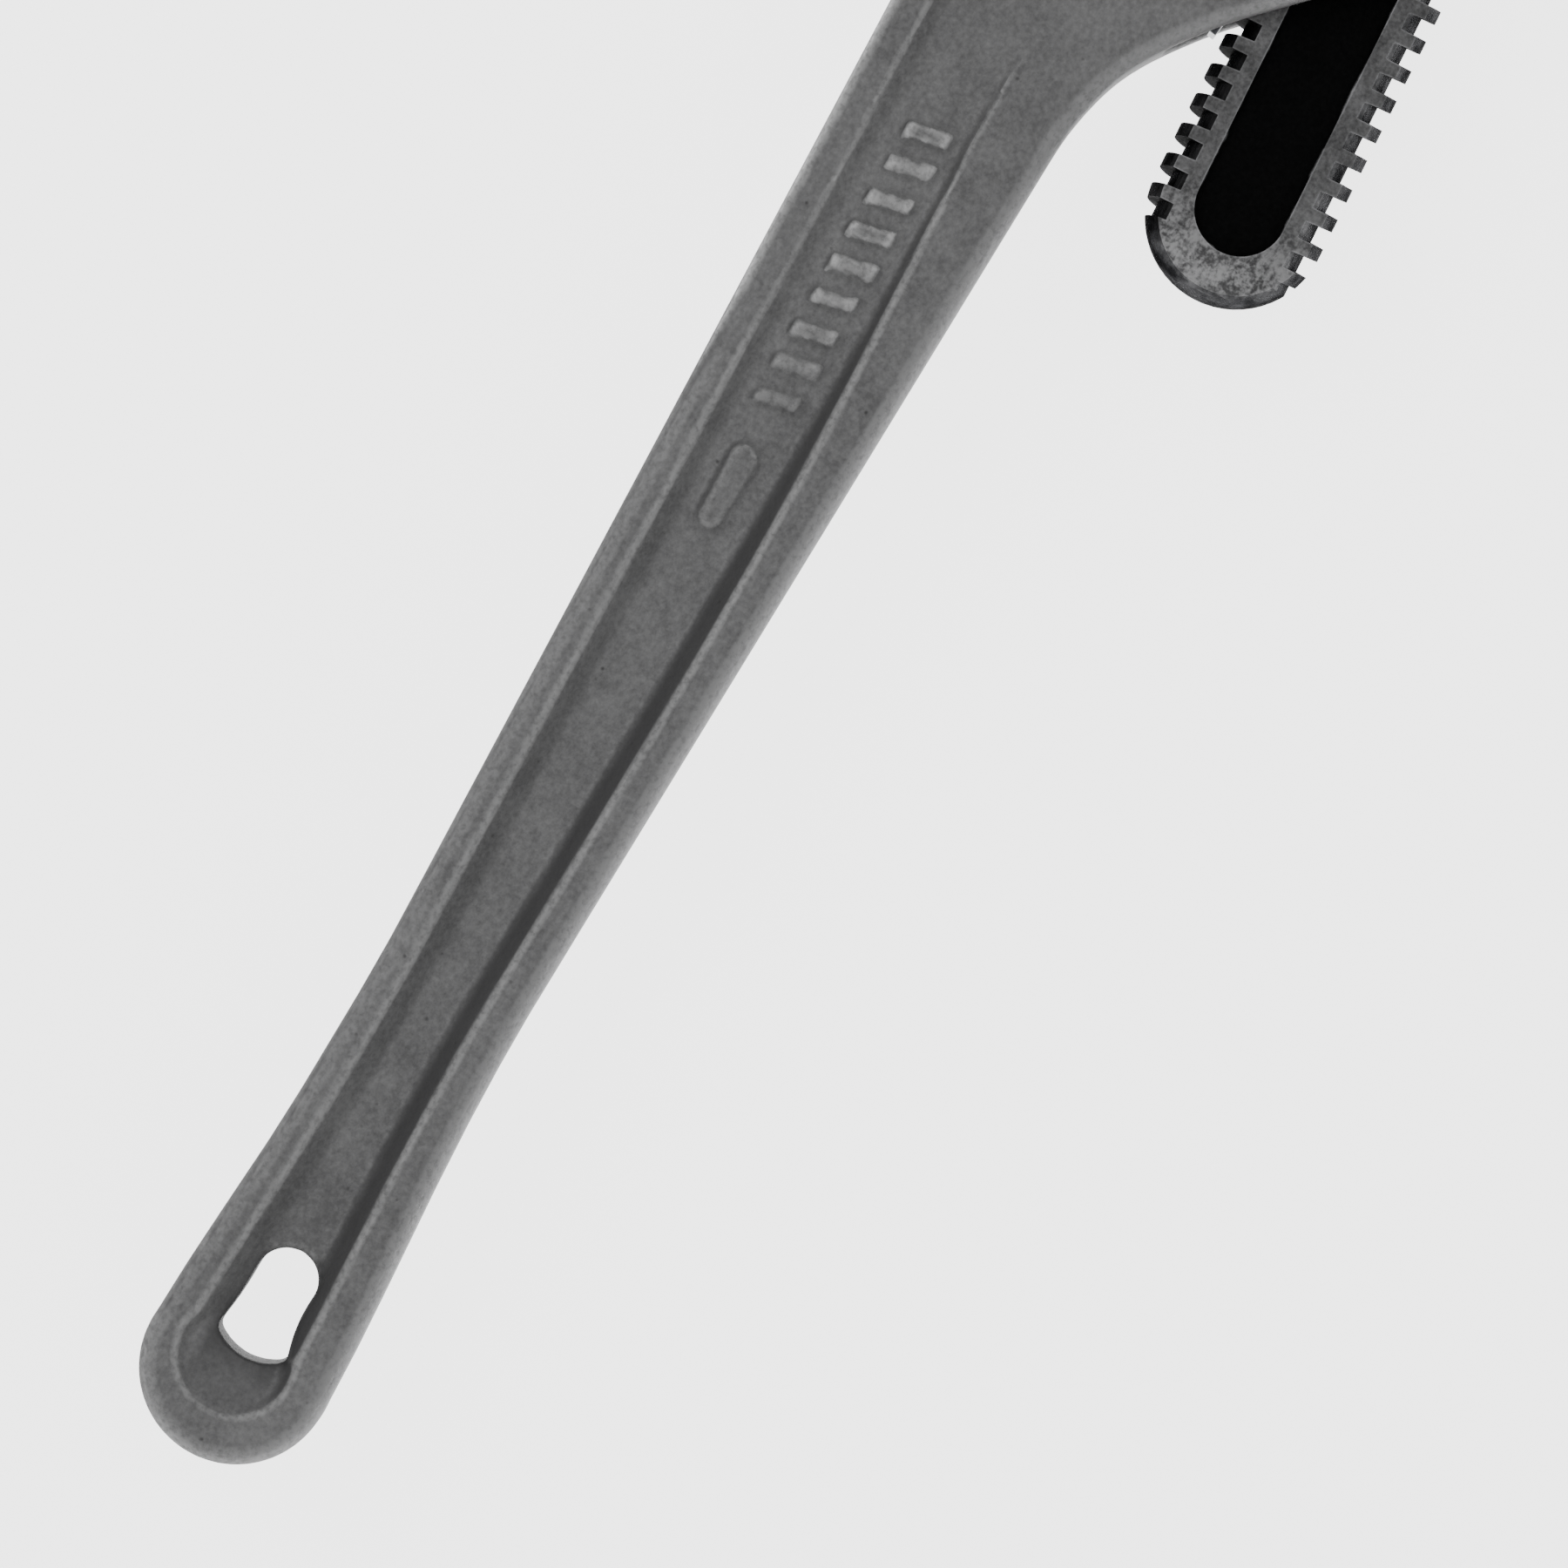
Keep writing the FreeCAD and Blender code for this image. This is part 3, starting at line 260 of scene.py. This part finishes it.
def cast_aluminium():
    r = Recipe("cast_aluminium")
    grain = r.noise(0.9 * MM, detail=4.0, rough=0.62)
    lumps = r.noise(6.0 * MM, detail=3.0)
    blotch = r.noise(26.0 * MM, detail=2.0)
    pits = r.remap(r.cells(1.7 * MM), 0.0, 0.28, 1.0, 0.0, smooth=True)
    few = r.remap(r.noise(4.0 * MM, detail=2.0), 0.60, 0.70)
    pits = r.times(pits, few)
    tone = r.plus(r.times(grain, 0.5), r.times(lumps, 0.28))
    tone = r.plus(tone, r.times(blotch, 0.22))
    base = r.mix(r.remap(tone, 0.36, 0.64), CAST_DARK, CAST_LIGHT)
    base = r.mix(pits, base, CAST_PIT)
    apart = r.add("ShaderNodeSeparateXYZ")
    r.link(r.place, apart.inputs["Vector"])
    # painted highlight along the outer side that faces the shank, speckled with the grain
    side_highlight = r.times(r.facing(BESIDE_SHANK, 0.1, 0.25), r.remap(grain, 0.34, 0.52, 0.5, 1.0))
    side_highlight_from = centre_line - SIDE_HIGHLIGHT_STARTS_ACROSS
    outer = r.remap(apart.outputs["Y"], side_highlight_from, side_highlight_from - 1.0 * MM)
    base = r.mix(r.times(side_highlight, outer), base, CAST_SIDE_HIGHLIGHT)
    # painted shade: surfaces that face the mouth side are darkened
    base = r.mix(r.facing(BESIDE_MOUTH, 0.2, 0.8), base, CAST_SHADED_SIDE)
    above = r.distance(r.minus(apart.outputs["Z"], mid_height))
    # outer corners are rubbed light and carry painted highlight lines, less so on the raised marks, which the
    # recess protects
    edge = r.times(r.outer_corners(CORNER_FAINT, CORNER_BRIGHT), r.remap(grain, 0.35, 0.55, 0.55, 1.0))
    exposed = r.remap(above, RELIEF_LEVEL + 0.4 * MM, RELIEF_LEVEL + 1.2 * MM, 0.35, 1.0)
    edge = r.times(edge, exposed)
    base = r.mix(edge, base, CAST_EDGE_WEAR_AND_HIGHLIGHT)
    # painted shade in the scoop at the handle's end and on the wall of the hanging hole
    end = r.remap(apart.outputs["X"], handle_end + SCOOP_REACH, handle_end + SCOOP_FULL)
    sunk = r.remap(above, FLANGE_LEVEL - 0.4 * MM, FLANGE_LEVEL - 2.4 * MM)
    middle = r.distance(r.minus(apart.outputs["Y"], centre_line))
    inner = r.remap(middle, SCOOP_HALF_WIDTH, SCOOP_HALF_WIDTH - 2.0 * MM)
    past_end = r.remap(apart.outputs["X"], handle_end + HANDLE_TIP, handle_end + HANDLE_TIP + 3.0 * MM)
    scoop_shade = r.times(r.times(end, sunk), r.times(inner, past_end))
    base = r.mix(scoop_shade, base, CAST_SCOOP_SHADE)
    height = r.plus(r.times(grain, 0.6), r.times(lumps, 0.5))
    height = r.minus(height, r.times(pits, 0.6))
    r.bump(height, CAST_GRAIN_DEPTH)
    rough = r.remap(grain, 0.3, 0.7, CAST_ROUGHEST, CAST_SMOOTHEST)
    r.soften_grazing(0.2, 0.25)
    return r.finish(base, rough, CAST_METALLIC)


dress("handle", cast_aluminium())
handle = nodes["handle"]
skin = handle.modifiers.new("cast_skin", "REMESH")
skin.mode = "VOXEL"
skin.voxel_size = CAST_SKIN_GRAIN
skin.use_smooth_shade = True
soften = handle.modifiers.new("cast_softness", "SMOOTH")
soften.factor = 0.5
soften.iterations = 2


# ---------------------------------------------------------------- hook jaw


def place_on_shank(r):
    """Millimetres from the nut's centre to a shading point: along the shank, beside it and above."""
    flat = r.add("ShaderNodeVectorMath", operation="SUBTRACT")
    r.link(r.place, flat.inputs[0])
    flat.inputs[1].default_value = nut_centre
    found = []
    for way in (shank_way, shank_side, Vector((0, 0, 1))):
        dot = r.add("ShaderNodeVectorMath", operation="DOT_PRODUCT")
        r.link(flat.outputs["Vector"], dot.inputs[0])
        dot.inputs[1].default_value = way / MM
        found.append(dot.outputs["Value"])
    return found


def up_facing(r):
    geometry = r.add("ShaderNodeNewGeometry")
    apart = r.add("ShaderNodeSeparateXYZ")
    r.link(geometry.outputs["Normal"], apart.inputs["Vector"])
    return apart.outputs["Z"]


STEEL_DARK = (0.06, 0.06, 0.061)
STEEL_LIGHT = (0.17, 0.17, 0.172)
STEEL_EDGE = (0.30, 0.30, 0.31)
STEEL_RUBBED = (0.36, 0.36, 0.365)
# painted shade colours for the sideways faces of the thread
THREAD_SHADE_DARK = (0.025, 0.025, 0.026)
THREAD_SHADE_LIGHT = (0.075, 0.075, 0.077)
PANEL_BLACK = (0.011, 0.011, 0.0113)
FORGED_METALLIC = 1.0
FORGED_ROUGHEST = 0.58
FORGED_SMOOTHEST = 0.42
FORGED_GRAIN_DEPTH = 0.14 * MM

# millimetres from the nut's centre, or from the shank's axis
SHANK_BELOW_NUT = 93.4
THREAD_END = 30.0
RUBBED_FROM_END = 18.0
RUBBED_FULL = 5.0
PANEL_HALF = 7.2
PANEL_START = -SHANK_BELOW_NUT + 8.0 + PANEL_HALF
PANEL_END = 40.0
PANEL_LEVEL = 6.3


def forged_steel():
    r = Recipe("forged_steel")
    along, beside, up = place_on_shank(r)
    grain = r.noise(0.7 * MM, detail=4.0, rough=0.6)
    lumps = r.noise(3.5 * MM, detail=3.0)
    blotch = r.noise(14.0 * MM, detail=2.0)
    tone = r.plus(r.times(grain, 0.4), r.times(lumps, 0.35))
    tone = r.plus(tone, r.times(blotch, 0.25))
    base = r.mix(r.remap(tone, 0.36, 0.66), STEEL_DARK, STEEL_LIGHT)
    edge = r.times(r.worn_edges(0.5 * MM), r.remap(lumps, 0.35, 0.62, 0.2, 1.0))
    base = r.mix(edge, base, STEEL_EDGE)
    # the flat faces round the shank's end are rubbed bright in patches
    end = r.remap(along, RUBBED_FROM_END - SHANK_BELOW_NUT, RUBBED_FULL - SHANK_BELOW_NUT)
    rubbed = r.times(end, r.remap(r.plus(lumps, grain), 0.85, 1.15))
    base = r.mix(r.times(rubbed, 0.8), base, STEEL_RUBBED)
    # painted shade on the faces of the threaded end that turn sideways, in a lumpy tone
    side_shade = r.remap(r.distance(up_facing(r)), 0.9, 0.4)
    side_shade = r.times(side_shade, r.remap(along, THREAD_END + 2.0, THREAD_END - 2.0))
    side_shade_tone = r.mix(r.remap(lumps, 0.35, 0.65), THREAD_SHADE_DARK, THREAD_SHADE_LIGHT)
    base = r.mix(side_shade, base, side_shade_tone)
    # black paint in the recessed panels: an obround about the shank's axis, below the shank's flat faces
    beyond = r.times(r.minus(along, PANEL_START), -1.0)
    past = r.minus(along, PANEL_END)
    outside = r.larger(r.larger(beyond, past), 0.0)
    away = r.add("ShaderNodeVectorMath", operation="LENGTH")
    both = r.add("ShaderNodeCombineXYZ")
    r.link(outside, both.inputs["X"])
    r.link(beside, both.inputs["Y"])
    r.link(both.outputs["Vector"], away.inputs[0])
    wobble = r.remap(lumps, 0.3, 0.7, -0.25, 0.25)
    inside = r.remap(r.plus(away.outputs["Value"], wobble), PANEL_HALF + 0.25, PANEL_HALF - 0.15)
    low = r.remap(r.distance(up), PANEL_LEVEL + 0.1, PANEL_LEVEL - 0.3)
    paint = r.times(inside, low)
    base = r.mix(paint, base, PANEL_BLACK)
    height = r.plus(r.times(grain, 0.5), r.times(lumps, 0.6))
    height = r.times(height, r.remap(paint, 0.0, 1.0, 1.0, 0.25))
    r.bump(height, FORGED_GRAIN_DEPTH)
    rough = r.remap(grain, 0.3, 0.7, FORGED_ROUGHEST, FORGED_SMOOTHEST)
    rough = r.plus(rough, r.times(paint, 0.4))
    r.soften_grazing(0.1, 0.15)
    return r.finish(base, rough, FORGED_METALLIC)


dress("hook_jaw", forged_steel())

# ---------------------------------------------------------------- other steel pieces


STEEL_METALLIC = 0.85


def steel(name, dark, light, edge_tone, roughness, grain_size, depth, way=None):
    """Worked steel with streaks that run one way, or even grain where no way is given."""
    r = Recipe(name)
    grain = r.noise(grain_size, detail=4.0, rough=0.6)
    place = r.stretched(way, 12.0) if way else None
    streaks = r.noise(grain_size * 0.6, detail=3.0, place=place)
    lumps = r.noise(4.0 * MM, detail=2.0)
    tone = r.plus(r.times(streaks, 0.45), r.times(lumps, 0.3))
    tone = r.plus(tone, r.times(grain, 0.25))
    base = r.mix(r.remap(tone, 0.34, 0.66), dark, light)
    edge = r.times(r.worn_edges(0.45 * MM), r.remap(lumps, 0.3, 0.6, 0.35, 1.0))
    base = r.mix(edge, base, edge_tone)
    r.bump(r.plus(r.times(grain, 0.5), r.times(streaks, 0.5)), depth)
    rough = r.remap(grain, 0.3, 0.7, roughness + 0.08, roughness - 0.08)
    return r.finish(base, rough, STEEL_METALLIC)


dress(
    "heel_jaw",
    steel(
        "hardened_steel",
        dark=(0.06, 0.06, 0.062),
        light=(0.15, 0.15, 0.153),
        edge_tone=(0.42, 0.42, 0.43),
        roughness=0.42,
        grain_size=0.6 * MM,
        depth=0.06 * MM,
        way=Vector((0, 1, 0)),
    ),
)
dress(
    "adjusting_nut",
    steel(
        "knurled_steel",
        dark=(0.09, 0.09, 0.092),
        light=(0.20, 0.20, 0.204),
        edge_tone=(0.45, 0.45, 0.46),
        roughness=0.38,
        grain_size=0.5 * MM,
        depth=0.05 * MM,
        way=shank_side,
    ),
)
pin_steel = steel(
    "pin_steel",
    dark=(0.16, 0.16, 0.165),
    light=(0.30, 0.30, 0.305),
    edge_tone=(0.5, 0.5, 0.51),
    roughness=0.34,
    grain_size=0.4 * MM,
    depth=0.03 * MM,
)
dress("heel_jaw_pin", pin_steel)
dress("spring_rivet", pin_steel)
spring_steel = steel(
    "spring_steel",
    dark=(0.05, 0.053, 0.06),
    light=(0.11, 0.115, 0.125),
    edge_tone=(0.3, 0.3, 0.31),
    roughness=0.32,
    grain_size=0.5 * MM,
    depth=0.03 * MM,
)
dress("flat_spring", spring_steel)
dress("coil_spring", spring_steel)

# ------------------------------------------------------- coil spring, copied and carried by the handle

coil = nodes["coil_spring"].copy()
coil.data = nodes["coil_spring"].data.copy()
coil.name = "coil_spring_wire"
coil.parent = None
bpy.context.scene.collection.objects.link(coil)
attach(coil, "handle")
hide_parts("coil_spring")
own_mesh(coil)

for piece in [coil, *nodes.values()]:
    if piece.name != "handle":
        for polygon in piece.data.polygons:
            polygon.use_smooth = False

# ---------------------------------------------------------------- floor and light

FLOOR_SIZE = 6.0
FLOOR_GAP = 0.0005
FLOOR_GLOW = 3.0
STUDIO_LEVEL = 0.62
bpy.ops.mesh.primitive_plane_add(size=FLOOR_SIZE, location=(0, 0, -FLOOR_GAP))
floor = bpy.context.object
floor.name = "floor"
floor_paint = bpy.data.materials.new("floor_paint")
floor_paint.use_nodes = True
floor_shader = floor_paint.node_tree.nodes["Principled BSDF"]
floor_shader.inputs["Base Color"].default_value = (0.93, 0.93, 0.93, 1)
floor_shader.inputs["Roughness"].default_value = 0.9
floor_shader.inputs["Emission Color"].default_value = (1, 1, 1, 1)
floor_shader.inputs["Emission Strength"].default_value = FLOOR_GLOW
floor.data.materials.append(floor_paint)

world = bpy.data.worlds.new("studio")
bpy.context.scene.world = world
world.use_nodes = True
world.node_tree.nodes["Background"].inputs["Color"].default_value = (1, 1, 1, 1)
world.node_tree.nodes["Background"].inputs["Strength"].default_value = STUDIO_LEVEL

VIEW_TURN = math.radians(29.8)
image_up = Vector((math.cos(VIEW_TURN), math.sin(VIEW_TURN), 0))
image_right = Vector((math.sin(VIEW_TURN), -math.cos(VIEW_TURN), 0))
VIEW_ALONG = 133.9
VIEW_ACROSS = 28.6
VIEW_ABOVE = 6.0
look_at = on_casting(VIEW_ALONG, VIEW_ACROSS, VIEW_ABOVE)


def soft_light(name, right, up, height, size, power):
    """A square studio light aimed at the wrench, placed in metres right of, up from and above its middle."""
    data = bpy.data.lights.new(name, "AREA")
    data.shape = "SQUARE"
    data.size = size
    data.energy = power
    lamp = bpy.data.objects.new(name, data)
    bpy.context.scene.collection.objects.link(lamp)
    lamp.location = look_at + image_right * right + image_up * up + Vector((0, 0, height))
    aim = look_at - lamp.location
    lamp.rotation_euler = aim.to_track_quat("-Z", "Y").to_euler()
    return lamp


soft_light("key", right=-0.6, up=0.5, height=1.1, size=0.7, power=3.5)
soft_light("top", right=0.3, up=-0.2, height=1.5, size=1.4, power=2.5)

# ---------------------------------------------------------------- camera

FIELD = 240.0 * MM
DISTANCE = 2000.0 * MM
SENSOR = 36.0
camera_data = bpy.data.cameras.new("camera")
camera_data.sensor_width = SENSOR
camera_data.sensor_fit = "HORIZONTAL"
camera_data.lens = SENSOR * DISTANCE / FIELD
camera = bpy.data.objects.new("camera", camera_data)
bpy.context.scene.collection.objects.link(camera)
camera.location = look_at + Vector((0, 0, DISTANCE))
camera.rotation_euler = (0, 0, math.atan2(image_right.y, image_right.x))
bpy.context.scene.camera = camera

# ---------------------------------------------------------------- hand over

bpy.context.view_layer.update()
